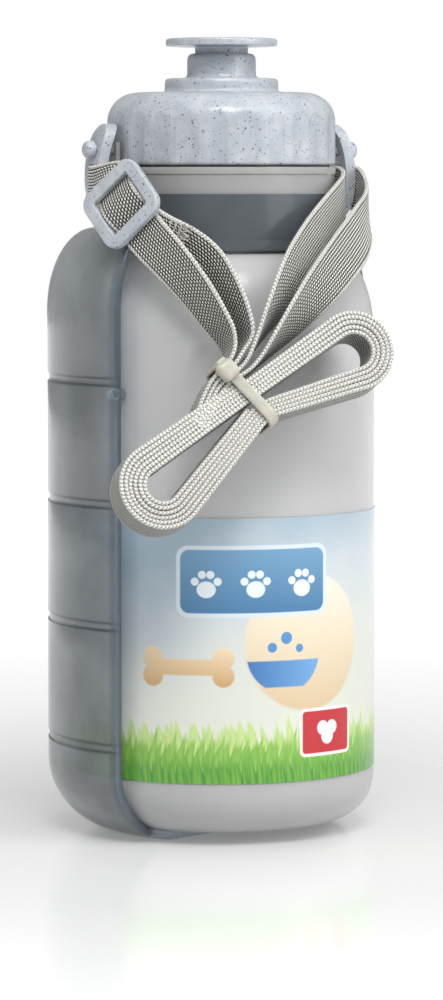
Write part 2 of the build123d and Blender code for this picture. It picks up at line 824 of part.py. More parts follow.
# Cable tie: band round the waist of the hank and the legs, with its head at the upper end
stack_height = len(legs) * (strap_thickness + loose_gap / 2) + 3 * loose_gap
tie_high = stack_top + hank_thickness / 2 + stack_height
tie_low = stack_top + hank_thickness / 2 + 2 * loose_gap + tie_band / 2
tie_middle = in_hank(0, (tie_low - tie_high) / 2)
lobe_run = in_hank(1, 0) - in_hank(0, 0)
tie_plane = Plane(origin=tie_middle, x_dir=facing, z_dir=lobe_run)
tie_inner_depth = strap_width + 2 * loose_gap
tie_inner_height = tie_low + tie_high
with BuildPart() as cable_tie:
    with BuildSketch(tie_plane):
        RectangleRounded(tie_inner_depth + 2 * tie_band, tie_inner_height + 2 * tie_band, 2 * tie_band)
        RectangleRounded(tie_inner_depth, tie_inner_height, tie_band, mode=Mode.SUBTRACT)
    extrude(amount=tie_width / 2, both=True)
    head_sign = 1 if tie_plane.y_dir.dot(in_hank(0, -1) - in_hank(0, 0)) > 0 else -1
    head_x = tie_inner_depth / 2 + tie_band + tie_head / 4
    head_y = head_sign * (tie_inner_height - tie_head) / 2
    with BuildSketch(tie_plane):
        with Locations((head_x, head_y)):
            Rectangle(tie_head / 2, tie_head)
    extrude(amount=tie_width / 2 + tie_band / 2, both=True)
    with BuildSketch(tie_plane):
        with Locations((head_x, head_y + head_sign * (tie_head + tie_tail) / 2)):
            Rectangle(tie_band, tie_tail)
    extrude(amount=tie_width / 2, both=True)
write(cable_tie.part, "cable_tie")
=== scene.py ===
"""Looks of the portable dog drinking set: frosted bottle, half-shell bowl, screw cap and tied-up strap."""
import math
import bpy
from mathutils import Matrix, Vector


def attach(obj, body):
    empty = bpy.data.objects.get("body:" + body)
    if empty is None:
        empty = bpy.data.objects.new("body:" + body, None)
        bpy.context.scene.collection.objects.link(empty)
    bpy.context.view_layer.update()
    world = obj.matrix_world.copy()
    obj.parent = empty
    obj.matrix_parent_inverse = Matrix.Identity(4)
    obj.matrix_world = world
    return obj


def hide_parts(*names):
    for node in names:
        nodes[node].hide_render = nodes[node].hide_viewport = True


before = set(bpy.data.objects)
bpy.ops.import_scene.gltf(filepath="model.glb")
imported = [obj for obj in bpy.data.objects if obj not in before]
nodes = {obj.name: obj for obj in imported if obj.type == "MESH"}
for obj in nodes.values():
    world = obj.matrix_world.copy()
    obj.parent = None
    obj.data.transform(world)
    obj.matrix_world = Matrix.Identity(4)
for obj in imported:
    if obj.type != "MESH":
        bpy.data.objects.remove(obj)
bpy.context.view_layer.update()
MM = 0.001

# The front of the set: the way the strap's hank faces, in degrees clockwise from +X
FRONT_TURN = math.radians(43)
ACROSS = Vector((math.cos(FRONT_TURN), -math.sin(FRONT_TURN), 0))
OUTWARD = Vector((-math.sin(FRONT_TURN), -math.cos(FRONT_TURN), 0))
UP = Vector((0, 0, 1))


def front(u, w, z):
    """Millimetres across, outward and up, as a place or direction in metres."""
    return (ACROSS * u + OUTWARD * w + UP * z) * MM


def deselect():
    """Nothing selected, so that the next operator acts on the new piece alone."""
    if bpy.context.object and bpy.context.object.mode != "OBJECT":
        bpy.ops.object.mode_set(mode="OBJECT")
    bpy.ops.object.select_all(action="DESELECT")


# Camera and stage
VIEW_DISTANCE = 1.080
EYE_HEIGHT = 0.1763
AIM_HEIGHT = 0.0885
FRAME_HEIGHT = 0.270
SENSOR = 36.0

deselect()
bpy.ops.object.camera_add()
camera = bpy.context.object
camera.name = "photo_camera"
camera.location = OUTWARD * VIEW_DISTANCE + UP * EYE_HEIGHT
aim = UP * AIM_HEIGHT - camera.location
camera.rotation_euler = aim.to_track_quat("-Z", "Y").to_euler()
camera.data.sensor_fit = "VERTICAL"
camera.data.sensor_height = SENSOR
camera.data.lens = SENSOR * aim.length / FRAME_HEIGHT
camera.data.clip_end = 20
bpy.context.scene.camera = camera
bpy.context.scene.view_settings.view_transform = "Standard"


# Materials
def linear(hex_colour):
    """sRGB hex to a linear colour with alpha 1."""
    parts = [int(hex_colour[i:i + 2], 16) / 255 for i in (1, 3, 5)]
    return (*[p / 12.92 if p <= 0.04045 else ((p + 0.055) / 1.055) ** 2.4 for p in parts], 1)


def add(tree, kind, links=None, **settings):
    """One node with its settings; links maps its inputs to values or to other nodes' outputs."""
    made = tree.nodes.new(kind)
    for name, value in settings.items():
        setattr(made, name, value)
    for name, value in (links or {}).items():
        socket = made.inputs[name]
        if isinstance(value, bpy.types.NodeSocket):
            tree.links.new(value, socket)
        else:
            socket.default_value = value
    return made


def new_material(name, **shader):
    """A principled material; shader gives its constant values."""
    made = bpy.data.materials.new(name)
    made.use_nodes = True
    body = made.node_tree.nodes["Principled BSDF"]
    for key, value in shader.items():
        body.inputs[key.replace("_", " ")].default_value = value
    return made, made.node_tree, body


def math_node(tree, operation, a, b=0.0, c=0.0):
    """Output of one Math node."""
    return add(tree, "ShaderNodeMath", {0: a, 1: b, 2: c}, operation=operation).outputs[0]


def map_range(tree, value, low, high, bottom=0.0, top=1.0):
    """Output that goes from bottom to top, and no further, as value goes from low to high."""
    return add(tree, "ShaderNodeMapRange", {
        "Value": value, "From Min": low, "From Max": high, "To Min": bottom, "To Max": top}).outputs[0]


def ramp(tree, value, stops):
    """Colour output of a ramp through (place, hex) stops."""
    made = add(tree, "ShaderNodeValToRGB", {"Fac": value})
    keys = made.color_ramp.elements
    while len(keys) < len(stops):
        keys.new(0.5)
    for key, (position, colour) in zip(keys, stops):
        key.position = position
        key.color = linear(colour)
    return made.outputs["Color"]


def blend_colours(tree, share, under, over):
    """Colour output: under where share is 0, over where it is 1."""
    mixed = add(tree, "ShaderNodeMix", data_type="RGBA")
    for socket, value in ((mixed.inputs[0], share), (mixed.inputs[6], under), (mixed.inputs[7], over)):
        if isinstance(value, bpy.types.NodeSocket):
            tree.links.new(value, socket)
        else:
            socket.default_value = linear(value) if isinstance(value, str) else value
    return mixed.outputs[2]


def place(tree, output="Object"):
    """Coordinates of the shaded point; those of Object are in metres."""
    return add(tree, "ShaderNodeTexCoord").outputs[output]


def grain(tree, where, size_mm, detail=2.0, roughness=0.5):
    """Noise whose features are about size_mm across."""
    return add(tree, "ShaderNodeTexNoise", {
        "Vector": where, "Scale": 1 / (size_mm * MM), "Detail": detail, "Roughness": roughness,
    }).outputs["Fac"]


def bump(tree, shader, height, depth_mm, strength):
    """Relief of depth_mm where height goes from 0 to 1."""
    made = add(tree, "ShaderNodeBump", {"Height": height, "Strength": strength, "Distance": depth_mm * MM})
    tree.links.new(made.outputs["Normal"], shader.inputs["Normal"])


def polypropylene_frosted(name, colour, roughness, clear, haze, neck_shade_grey_foot=False):
    """Natural blow-moulded polypropylene: light goes through it, and shapes behind it blur.

    The flag darkens the neck with painted shade cast by the collar above it, and greys the bottle towards its
    foot.
    """
    made, tree, body = new_material(
        name, Roughness=roughness, IOR=1.49, Transmission_Weight=clear, Subsurface_Weight=haze,
        Subsurface_Scale=6 * MM,
    )
    body.inputs["Subsurface Radius"].default_value = (1.0, 1.0, 1.0)
    where = place(tree)
    tone = ramp(tree, grain(tree, where, 30, 3), [(0.3, colour[0]), (0.7, colour[1])])
    if neck_shade_grey_foot:
        level = add(tree, "ShaderNodeSeparateXYZ", {"Vector": where}).outputs["Z"]
        # Painted shade: the collar's shadow on the neck; the foot is simply greyer towards the bottom
        collar_shade = map_range(tree, level, 150 * MM, 160 * MM, top=0.75)
        foot = map_range(tree, level, 40 * MM, 6 * MM, top=0.4)
        tone = blend_colours(tree, math_node(tree, "MAXIMUM", collar_shade, foot), tone, "#a6a6a5")
    tree.links.new(tone, body.inputs["Base Color"])
    bump(tree, body, grain(tree, where, 1.2, 4), 0.06, 0.5)
    return made


GROOVE_FIRST = 25.9   # mm, height of the bowl's lowest groove
GROOVE_STEP = 32.1    # mm from groove to groove
GROOVE_COUNT = 4
GROOVE_HALF = 1.0     # mm from a groove's middle to the dark line on each side


def tinted_polypropylene():
    """Smoke-grey clear polypropylene, cloudy from handling, with painted shade in dark lines beside its
    grooves, and bluer at its rim.
    """
    made, tree, body = new_material(
        "tinted_polypropylene", Roughness=0.17, IOR=1.49, Transmission_Weight=0.8, Subsurface_Weight=0.05,
        Subsurface_Scale=4 * MM,
    )
    where = place(tree)
    cloud = grain(tree, where, 22, 5, 0.65)
    tone = ramp(tree, cloud, [(0.32, "#a4a9ac"), (0.5, "#b5babc"), (0.68, "#c6cacc")])
    upright = add(tree, "ShaderNodeMapping", {"Vector": where, "Scale": (1, 1, 0.18)}).outputs[0]
    scuffs = map_range(tree, grain(tree, upright, 1.6, 3), 0.62, 0.75, top=0.3)
    tone = blend_colours(tree, scuffs, tone, "#d3d7d9")
    split = add(tree, "ShaderNodeSeparateXYZ", {"Vector": where})
    # Painted shade: a dark line along each side of every groove, where the channel's edges fall into shade
    groove = math_node(
        tree, "MULTIPLY_ADD", split.outputs["Z"], 1 / (GROOVE_STEP * MM), 0.5 - GROOVE_FIRST / GROOVE_STEP)
    off = math_node(tree, "ABSOLUTE", math_node(tree, "SUBTRACT", math_node(tree, "FRACT", groove), 0.5))
    off = math_node(tree, "MULTIPLY_ADD", off, GROOVE_STEP, -GROOVE_HALF)
    line = map_range(tree, math_node(tree, "ABSOLUTE", off), 0.55, 0.15, top=0.75)
    for end, side in ((GROOVE_COUNT, "LESS_THAN"), (0.0, "GREATER_THAN")):
        line = math_node(tree, "MULTIPLY", line, math_node(tree, side, groove, end))
    tone = blend_colours(tree, line, tone, "#56636f")
    # The rim's cut face, towards the front, looks along the wall and so shows its full blue
    rim = map_range(tree, split.outputs["Y"], -6.2 * MM, -7.4 * MM, top=0.8)
    tone = blend_colours(tree, rim, tone, "#8496a8")
    tree.links.new(tone, body.inputs["Base Color"])
    bump(tree, body, grain(tree, where, 2.5, 4), 0.08, 0.5)
    return made


def speckled_abs():
    """Injection-moulded ABS in pale grey blue, with ground mineral flecks of 0.2 to 0.6 mm in it."""
    made, tree, body = new_material(
        "speckled_abs", Roughness=0.32, IOR=1.53, Coat_Weight=0.15, Coat_Roughness=0.15)
    where = place(tree)
    tone = ramp(tree, grain(tree, where, 5, 4), [(0.3, "#a7adb5"), (0.5, "#b2b7be"), (0.7, "#bdc1c6")])
    noise = add(tree, "ShaderNodeTexNoise", {"Vector": where, "Scale": 1 / (0.28 * MM), "Detail": 2.0})
    ragged = add(
        tree, "ShaderNodeVectorMath", {0: noise.outputs["Color"], 1: (0.5 * MM,) * 3, 2: where},
        operation="MULTIPLY_ADD").outputs[0]
    # Each size: cell in mm, share of a cell that the fleck fills, chance that a cell has one, colour
    for cell, fill, chance, fleck in (
        (0.8, 0.28, 0.5, "#929bab"), (1.1, 0.21, 0.45, "#747c8c"),
        (1.6, 0.15, 0.46, "#50545f"), (2.6, 0.11, 0.46, "#363843"),
    ):
        cells = add(tree, "ShaderNodeTexVoronoi", {
            "Vector": ragged, "Scale": 1 / (cell * MM), "Randomness": 1.0})
        near = map_range(tree, cells.outputs["Distance"], fill * 1.15, fill * 0.75)
        drawn = add(tree, "ShaderNodeSeparateColor", {"Color": cells.outputs["Color"]}).outputs[0]
        picked = math_node(tree, "LESS_THAN", drawn, chance)
        tone = blend_colours(tree, math_node(tree, "MULTIPLY", near, picked), tone, fleck)
    tree.links.new(tone, body.inputs["Base Color"])
    bump(tree, body, grain(tree, where, 0.7, 3), 0.03, 0.35)
    return made


def collar_polypropylene():
    """Dark grey injection-moulded polypropylene with a fine satin grain."""
    made, tree, body = new_material("collar_polypropylene", Roughness=0.2, IOR=1.49)
    where = place(tree)
    tone = ramp(tree, grain(tree, where, 14, 3), [(0.3, "#51565b"), (0.7, "#5b6065")])
    tree.links.new(tone, body.inputs["Base Color"])
    bump(tree, body, grain(tree, where, 0.5, 3), 0.02, 0.4)
    return made


def seal_foam():
    """White closed-cell polyethylene foam."""
    made, tree, body = new_material("seal_foam", Roughness=0.8)
    where = place(tree)
    tone = ramp(tree, grain(tree, where, 0.8, 3), [(0.3, "#dcdcd6"), (0.7, "#efefe9")])
    tree.links.new(tone, body.inputs["Base Color"])
    bump(tree, body, grain(tree, where, 0.6, 3), 0.08, 0.6)
    return made


def tie_nylon():
    """Natural nylon 6/6: creamy, slightly translucent and faintly uneven."""
    made, tree, body = new_material(
        "tie_nylon", Roughness=0.3, IOR=1.53, Subsurface_Weight=0.4, Subsurface_Scale=1.5 * MM)
    where = place(tree)
    tone = ramp(tree, grain(tree, where, 3, 2), [(0.3, "#b3b3a6"), (0.7, "#c3c3b6")])
    tree.links.new(tone, body.inputs["Base Color"])
    bump(tree, body, grain(tree, where, 0.6, 2), 0.03, 0.4)
    return made


YARN_ALONG = 1.05     # mm between the beads of a yarn, along the strap
YARN_ACROSS = 0.8     # mm between its yarns, across the strap
CHAIN_PITCH = 1.0     # mm between the stitches of the woven edge
EDGE_FROM = 5.1       # mm from the strap's middle line, where the woven edge begins
EDGE_MIDDLE = 5.75    # mm from the strap's middle line, where the edge's strands meet


def webbing_polyester():
    """Woven polyester webbing: columns of slanting beads with braided chain edges; the beads' bright crowns
    and the dark gaps between them are painted light and shade.

    The UV map is in mm: across the strap from its middle line, up to 6.3 round the edge, and along it.
    """
    made, tree, body = new_material(
        "polyester_webbing", Roughness=0.6, IOR=1.5, Sheen_Weight=0.2, Sheen_Roughness=0.4)
    split = add(tree, "ShaderNodeSeparateXYZ", {"Vector": place(tree, "UV")})
    across, along = split.outputs["X"], split.outputs["Y"]

    def centred(value):
        """How far a running value is from the middle of its cell, -0.5 to 0.5."""
        return math_node(tree, "SUBTRACT", math_node(tree, "FRACT", value), 0.5)

    def squared(value, half):
        scaled = math_node(tree, "DIVIDE", value, half)
        return math_node(tree, "MULTIPLY", scaled, scaled)

    column = math_node(tree, "DIVIDE", across, YARN_ACROSS)
    side = centred(column)
    step = math_node(tree, "MULTIPLY", math_node(tree, "FLOOR", column), 0.5)
    run = centred(math_node(tree, "ADD", math_node(tree, "DIVIDE", along, YARN_ALONG), step))
    slanting = math_node(tree, "MULTIPLY_ADD", run, 0.45, side)
    beads = math_node(tree, "ADD", squared(slanting, 0.4), squared(run, 0.5))
    beads = math_node(tree, "SUBTRACT", 1.0, beads)
    # Chain edge: slanting strands that meet in a chevron on the edge's middle, with painted shade between
    # them
    off = math_node(tree, "ABSOLUTE", across)
    arm = math_node(tree, "ABSOLUTE", math_node(tree, "SUBTRACT", off, EDGE_MIDDLE))
    strand = math_node(tree, "MULTIPLY_ADD", arm, 1.1, math_node(tree, "DIVIDE", along, CHAIN_PITCH))
    chain = math_node(tree, "MULTIPLY_ADD", math_node(tree, "ABSOLUTE", centred(strand)), -2.6, 1.42)
    at_edge = math_node(tree, "GREATER_THAN", off, EDGE_FROM)
    beads = math_node(tree, "MULTIPLY_ADD", beads, 1.15, -0.28)
    beads = math_node(tree, "MULTIPLY", math_node(tree, "SUBTRACT", 1.0, at_edge), beads)
    share = math_node(tree, "MULTIPLY_ADD", at_edge, chain, beads)
    fine = grain(tree, place(tree), 0.3, 2)
    share = math_node(tree, "MULTIPLY_ADD", math_node(tree, "SUBTRACT", fine, 0.5), 0.6, share)
    # Painted light and shade: near-black in the gaps between yarns, near-white on their crowns
    tone = ramp(tree, share, [(0.0, "#302f2b"), (0.22, "#85847d"), (0.6, "#f0efe9")])
    tree.links.new(tone, body.inputs["Base Color"])
    bump(tree, body, math_node(tree, "MAXIMUM", share, 0.0), 0.3, 0.8)
    return made


def sewing_thread():
    """Twisted polyester sewing thread, a little lighter than the strap."""
    made, tree, body = new_material("sewing_thread", Roughness=0.55, Sheen_Weight=0.3)
    where = place(tree)
    tone = ramp(tree, grain(tree, where, 0.4, 2), [(0.3, "#8d8b82"), (0.7, "#d9d7cc")])
    tree.links.new(tone, body.inputs["Base Color"])
    bump(tree, body, grain(tree, where, 0.25, 2), 0.08, 0.8)
    return made


LABEL_RADIUS = 41.3   # mm
LABEL_LOW = 17.3      # mm, heights of its lower and upper edges
LABEL_HIGH = 87.0


def label_print():
    """Gloss-laminated film label: sky, sun and grass, with plain panels and simple pet motifs.

    The artwork is laid out in mm: s round the bottle, rightwards from the middle of the front, and z up.
    """
    made, tree, body = new_material(
        "label_film", Roughness=0.26, IOR=1.5, Coat_Weight=0.3, Coat_Roughness=0.12)
    turned = add(tree, "ShaderNodeMapping", {"Vector": place(tree), "Rotation": (0, 0, FRONT_TURN)})
    split = add(tree, "ShaderNodeSeparateXYZ", {"Vector": turned.outputs[0]})
    forward = math_node(tree, "MULTIPLY", split.outputs["Y"], -1)
    angle = math_node(tree, "ARCTAN2", split.outputs["X"], forward)
    s = math_node(tree, "MULTIPLY", angle, LABEL_RADIUS)
    z = math_node(tree, "MULTIPLY", split.outputs["Z"], 1 / MM)

    def length(ds, dz):
        square = math_node(tree, "MULTIPLY_ADD", ds, ds, math_node(tree, "MULTIPLY", dz, dz))
        return math_node(tree, "SQRT", square)

    def disc(cs, cz, radius, squash=1.0):
        """Distance outside a disc, negative within."""
        ds = math_node(tree, "SUBTRACT", s, cs)
        dz = math_node(tree, "MULTIPLY", math_node(tree, "SUBTRACT", z, cz), squash)
        return math_node(tree, "SUBTRACT", length(ds, dz), radius)

    def past(value, middle, half):
        """How far value lies beyond half on either side of middle."""
        off = math_node(tree, "ABSOLUTE", math_node(tree, "SUBTRACT", value, middle))
        return math_node(tree, "MAXIMUM", math_node(tree, "SUBTRACT", off, half), 0.0)

    def panel(cs, cz, half_s, half_z, corner):
        """Distance outside a panel with round corners."""
        reach = length(past(s, cs, half_s - corner), past(z, cz, half_z - corner))
        return math_node(tree, "SUBTRACT", reach, corner)

    def union(*distances):
        joined = distances[0]
        for other in distances[1:]:
            joined = math_node(tree, "MINIMUM", joined, other)
        return joined

    def paint(under, distance, colour, soft=0.12, share=1.0):
        """The colour under, with another one over it where distance is negative; its edge is soft mm wide."""
        inside = map_range(tree, distance, soft, -soft, top=share)
        return blend_colours(tree, inside, under, colour)

    def gradient(value, scale, shift, *stops):
        return ramp(tree, math_node(tree, "MULTIPLY_ADD", value, scale, shift), stops)

    # Sky: blue at the upper left, paling to white over the meadow
    height = math_node(tree, "DIVIDE", math_node(tree, "SUBTRACT", z, LABEL_LOW), LABEL_HIGH - LABEL_LOW)
    haze = math_node(tree, "MULTIPLY_ADD", grain(tree, place(tree), 26, 3), 0.5, -0.25)
    drift = math_node(tree, "MULTIPLY_ADD", math_node(tree, "SINE", angle), -0.16, haze)
    tone = ramp(tree, math_node(tree, "ADD", height, drift), [
        (0.0, "#e0e3d0"), (0.45, "#d7dbd6"), (0.7, "#c5d0d7"), (0.95, "#a0b5c4")])
    # Grass: three rows of blades, each a slanting stretched noise cut off by height.
    # Each row: width of a blade, its lean, height of the row and how much the tips differ, colours
    for blade, lean, top, rows, colours in (
        (1.9, 0.16, 32.0, 9.0, ("#a9cf6e", "#c5dd92")),
        (1.3, -0.22, 28.5, 8.0, ("#6fae3d", "#93c25a")),
        (1.0, 0.12, 24.0, 7.0, ("#3f8f2c", "#76b043")),
    ):
        slid = math_node(tree, "MULTIPLY_ADD", z, lean, s)
        lane = add(tree, "ShaderNodeCombineXYZ", {"X": slid, "Y": math_node(tree, "MULTIPLY", z, 0.05)})
        blades = add(tree, "ShaderNodeTexNoise", {
            "Vector": lane.outputs[0], "Scale": 1 / blade, "Detail": 1.5}).outputs["Fac"]
        reach = math_node(tree, "MULTIPLY_ADD", blades, rows * 2.6, top - rows * 1.3)
        grass = map_range(tree, math_node(tree, "SUBTRACT", reach, z), 0.0, 2.0)
        tone = blend_colours(tree, grass, tone, ramp(tree, blades, [(0.4, colours[0]), (0.6, colours[1])]))
    # Pale sun in cream and tan, low over the meadow on the right
    glow = gradient(z, 0.028, -1.0, (0.0, "#d8b98c"), (0.6, "#ecdcbd"), (1.0, "#f4ecdc"))
    tone = paint(tone, disc(24.0, 54.0, 18.0), glow, 0.5, 0.85)
    # Blue panel with a pale border, over the middle
    tone = paint(tone, panel(9.0, 70.5, 21.0, 9.4, 3.2), "#d5e2ea")
    blue = gradient(z, 0.06, -3.8, (0.0, "#3f78a5"), (1.0, "#6f9fc2"))
    tone = paint(tone, panel(9.0, 70.5, 19.9, 8.3, 2.4), blue)
    # Paw prints on the panel
    for cs in (-4.0, 9.0, 22.0):
        toes = [
            disc(cs + ds, 68.4 + dz, 1.05)
            for ds, dz in ((-3.0, 2.1), (-1.1, 3.9), (1.1, 3.9), (3.0, 2.1))
        ]
        tone = paint(tone, union(disc(cs, 68.4, 2.5, 1.15), *toes), "#e4eef4")
    # Bone in tan over the meadow
    knobs = [disc(-9.0 + ds, 48.0 + dz, 2.9) for ds in (-9.5, 9.5) for dz in (-2.3, 2.3)]
    tan = gradient(z, 0.1, -4.3, (0.0, "#c79f69"), (1.0, "#ecd7b3"))
    tone = paint(tone, union(panel(-9.0, 48.0, 9.0, 2.1, 1.0), *knobs), tan, 0.2)
    # Bowl of water in blue, a disc cut off above and below, with drops over it
    cut = math_node(tree, "MAXIMUM", disc(17.0, 51.5, 10.5), math_node(tree, "SUBTRACT", z, 49.5))
    cut = math_node(tree, "MAXIMUM", cut, math_node(tree, "SUBTRACT", 42.5, z))
    water = gradient(s, 0.045, -0.25, (0.0, "#2f6fb0"), (1.0, "#6fa8dc"))
    tone = paint(tone, cut, water, 0.2)
    drops = union(disc(13.5, 53.0, 1.3), disc(17.5, 55.4, 1.6), disc(21.3, 52.6, 1.1))
    tone = paint(tone, drops, "#4d8ec9")
    # Red tag with a white border and three dots
    tone = paint(tone, panel(30.5, 30.0, 9.0, 6.4, 1.6), "#f4efe9")
    tone = paint(tone, panel(30.5, 30.0, 8.2, 5.6, 1.0), "#c2202c")
    dots = union(disc(28.9, 31.0, 1.9), disc(32.1, 31.0, 1.9), disc(30.5, 28.7, 2.1))
    tone = paint(tone, dots, "#f6ecec")
    tree.links.new(tone, body.inputs["Base Color"])
    # Faint upright creases, 0.1 mm deep and a few centimetres apart, and the film's slight ripple
    crease = math_node(tree, "SINE", math_node(tree, "MULTIPLY", s, 2 * math.pi / 33))
    sharp = math_node(tree, "POWER", math_node(tree, "ABSOLUTE", crease), 40)
    flat = add(tree, "ShaderNodeCombineXYZ", {"X": s, "Y": z}).outputs[0]
    wave = add(tree, "ShaderNodeTexNoise", {"Vector": flat, "Scale": 1 / 9, "Detail": 2.0}).outputs["Fac"]
    ripple = math_node(tree, "MULTIPLY_ADD", wave, 0.6, math_node(tree, "MULTIPLY", sharp, 0.5))
    bump(tree, body, ripple, 0.12, 0.5)
    return made


frosted = polypropylene_frosted(
    "frosted_polypropylene", ("#d9dadb", "#e3e3e4"), 0.24, 0.22, 0.5, neck_shade_grey_foot=True)
bowl_plastic = tinted_polypropylene()
ring_plastic = polypropylene_frosted("natural_polypropylene", ("#b6b5b3", "#c2c1bf"), 0.35, 0.3, 0.3)
speckled = speckled_abs()
collar_plastic = collar_polypropylene()
foam = seal_foam()
nylon = tie_nylon()
webbing = webbing_polyester()
thread = sewing_thread()
film = label_print()

for node_name, material in {
    "bottle": frosted, "bowl": bowl_plastic, "neck_collar": collar_plastic, "cap": speckled, "cap_seal": foam,
    "spout": speckled, "strap_ring": ring_plastic, "left_ear": speckled, "right_ear": speckled,
    "left_ear_pin": speckled, "right_ear_pin": speckled, "slider": speckled, "label": film,
}.items():
    nodes[node_name].data.materials.clear()
    nodes[node_name].data.materials.append(material)


def copied(node, name):
    """A loose copy of a rigid node's mesh, its doubled points merged, left open in edit mode."""
    deselect()
    piece = nodes[node].copy()
    piece.data = nodes[node].data.copy()
    piece.parent = None
    for key in list(piece.keys()):
        del piece[key]
    piece.name = name
    piece.data.name = name
    bpy.context.scene.collection.objects.link(piece)
    piece.select_set(True)
    bpy.context.view_layer.objects.active = piece
    bpy.ops.object.mode_set(mode="EDIT")
    bpy.ops.mesh.select_all(action="SELECT")
    bpy.ops.mesh.remove_doubles(threshold=0.004 * MM)
    return piece


def stand_in(piece, node, material, body):
    """The piece takes the node's place on its body."""
    piece.data.materials.clear()
    piece.data.materials.append(material)
    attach(piece, body)
    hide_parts(node)


def softened(node, width_mm, material, body, angle=32):
    """A rigid node with its edges sharper than angle degrees rounded by width_mm."""
    piece = copied(node, "moulded_" + node)
    bpy.ops.mesh.dissolve_limited(angle_limit=math.radians(0.6))
    bpy.ops.object.mode_set(mode="OBJECT")
    edge = piece.modifiers.new("edge_radius", "BEVEL")
    edge.width = width_mm * MM
    edge.segments = 3
    edge.limit_method = "ANGLE"
    edge.angle_limit = math.radians(angle)
    bpy.ops.object.modifier_apply(modifier=edge.name)
    bpy.ops.object.shade_smooth_by_angle(angle=math.radians(28))
    stand_in(piece, node, material, body)


def remoulded(node, voxel_mm, material, body):
    """A rigid node remeshed and smoothed, so that its every edge is softened as a mould's are."""
    piece = copied(node, "moulded_" + node)
    bpy.ops.object.mode_set(mode="OBJECT")
    skin = piece.modifiers.new("skin", "REMESH")
    skin.mode = "VOXEL"
    skin.voxel_size = voxel_mm * MM
    bpy.ops.object.modifier_apply(modifier=skin.name)
    ease = piece.modifiers.new("ease", "SMOOTH")
    ease.factor = 0.5
    ease.iterations = 3
    bpy.ops.object.modifier_apply(modifier=ease.name)
    bpy.ops.object.shade_smooth()
    stand_in(piece, node, material, body)


# Webbing: sizes in mm
STRAP_HALF_WIDTH = 6.0
STRAP_ROW = 0.25      # between the rows of a leg's mesh

# The hank's own directions: away from the bottle, across its bundles, and on beyond the tie
HANK_OUT = front(0.24, 0.93, 0.28).normalized()
HANK_UP = front(-0.685, -0.042, 0.727).normalized()
HANK_ON = front(-0.688, 0.366, -0.627).normalized()


def spline_points(points):
    """Points along the smooth curve whose control points are given, in metres."""
    curve = bpy.data.curves.new("route", "CURVE")
    curve.dimensions = "3D"
    curve.resolution_u = 24
    spline = curve.splines.new("NURBS")
    spline.points.add(len(points) - 1)
    for control, point in zip(spline.points, points):
        control.co = (*point, 1)
    spline.use_endpoint_u = True
    spline.order_u = 3
    holder = bpy.data.objects.new("route", curve)
    bpy.context.scene.collection.objects.link(holder)
    mesh = bpy.data.meshes.new_from_object(holder)
    found = [v.co.copy() for v in mesh.vertices]
    bpy.data.objects.remove(holder)
    bpy.data.curves.remove(curve)
    bpy.data.meshes.remove(mesh)
    return found


def evenly(rows, step):
    """Rows of (middle, across) resampled every step metres along the middle line."""
    lengths = [0.0]
    for (a, _), (b, _) in zip(rows, rows[1:]):
        lengths.append(lengths[-1] + (b - a).length)
    count = max(2, round(lengths[-1] / step))
    result = []
    i = 0
    for k in range(count + 1):
        target = lengths[-1] * k / count
        while i < len(rows) - 2 and lengths[i + 1] < target:
            i += 1
        gap = lengths[i + 1] - lengths[i] or 1
        t = (target - lengths[i]) / gap
        middle = rows[i][0].lerp(rows[i + 1][0], t)
        across = rows[i][1].lerp(rows[i + 1][1], t).normalized()
        result.append((middle, across, target))
    return result


def band(name, rows, half_width, thickness, material, body, columns, relief):
    """A woven strip through rows of (middle, across, distance along), its yarns raised by relief mm.

    Its outline is a list of places and outward directions: the front, the round edge, the back and the
    other edge.
    """
    half = thickness / 2
    outline = []
    turn = [
        (half_width - half * 0.3, half * 0.7, 0.7, 0.7), (half_width, 0, 1, 0),
        (half_width - half * 0.3, -half * 0.7, 0.7, -0.7),
    ]
    for i in range(columns + 1):
        x = -half_width + half + (2 * half_width - thickness) * i / columns
        outline.append((x, half, 0, 1))
    outline += turn
    for x, y, nx, ny in reversed(outline[:columns + 1]):
        outline.append((x, -half, 0, -1))
    outline += [(-x, y, -nx, ny) for x, y, nx, ny in reversed(turn)]
    count = len(outline)
    vertices = []
    for i, (middle, across, along) in enumerate(rows):
        ahead = rows[min(i + 1, len(rows) - 1)][0] - rows[max(i - 1, 0)][0]
        side = (across - ahead.normalized() * across.dot(ahead.normalized())).normalized()
        out = ahead.normalized().cross(side)
        mm_along = along / MM
        for x, y, nx, ny in outline:
            rib = math.sin(2 * math.pi * (mm_along / YARN_ALONG + 0.5 * math.floor(x / YARN_ACROSS)))
            link = math.sin(2 * math.pi * mm_along / CHAIN_PITCH)
            lift = relief * (1.6 * link if abs(x) > EDGE_FROM else rib)
            vertices.append(middle + side * (x + nx * lift) * MM + out * (y + ny * lift) * MM)
    faces = []
    for r in range(len(rows) - 1):
        for c in range(count):
            d = (c + 1) % count
            faces.append((r * count + c, r * count + d, (r + 1) * count + d, (r + 1) * count + c))
    faces.append(tuple(range(count - 1, -1, -1)))
    faces.append(tuple((len(rows) - 1) * count + c for c in range(count)))
    mesh = bpy.data.meshes.new(name)
    mesh.from_pydata(vertices, [], faces)
    uv = mesh.uv_layers.new(name="weave")
    for loop in mesh.loops:
        row, column = divmod(loop.vertex_index, count)
        x, y, nx, ny = outline[column]
        uv.data[loop.index].uv = (x + 0.35 * nx, rows[row][2] / MM)
    mesh.materials.append(material)
    mesh.validate()
    piece = bpy.data.objects.new(name, mesh)
    bpy.context.scene.collection.objects.link(piece)
    deselect()
    piece.select_set(True)
    bpy.context.view_layer.objects.active = piece
    bpy.ops.object.mode_set(mode="EDIT")
    bpy.ops.mesh.select_all(action="SELECT")
    bpy.ops.mesh.normals_make_consistent(inside=False)
    bpy.ops.object.mode_set(mode="OBJECT")
    bpy.ops.object.shade_smooth_by_angle(angle=math.radians(60))
    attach(piece, body)
    return piece


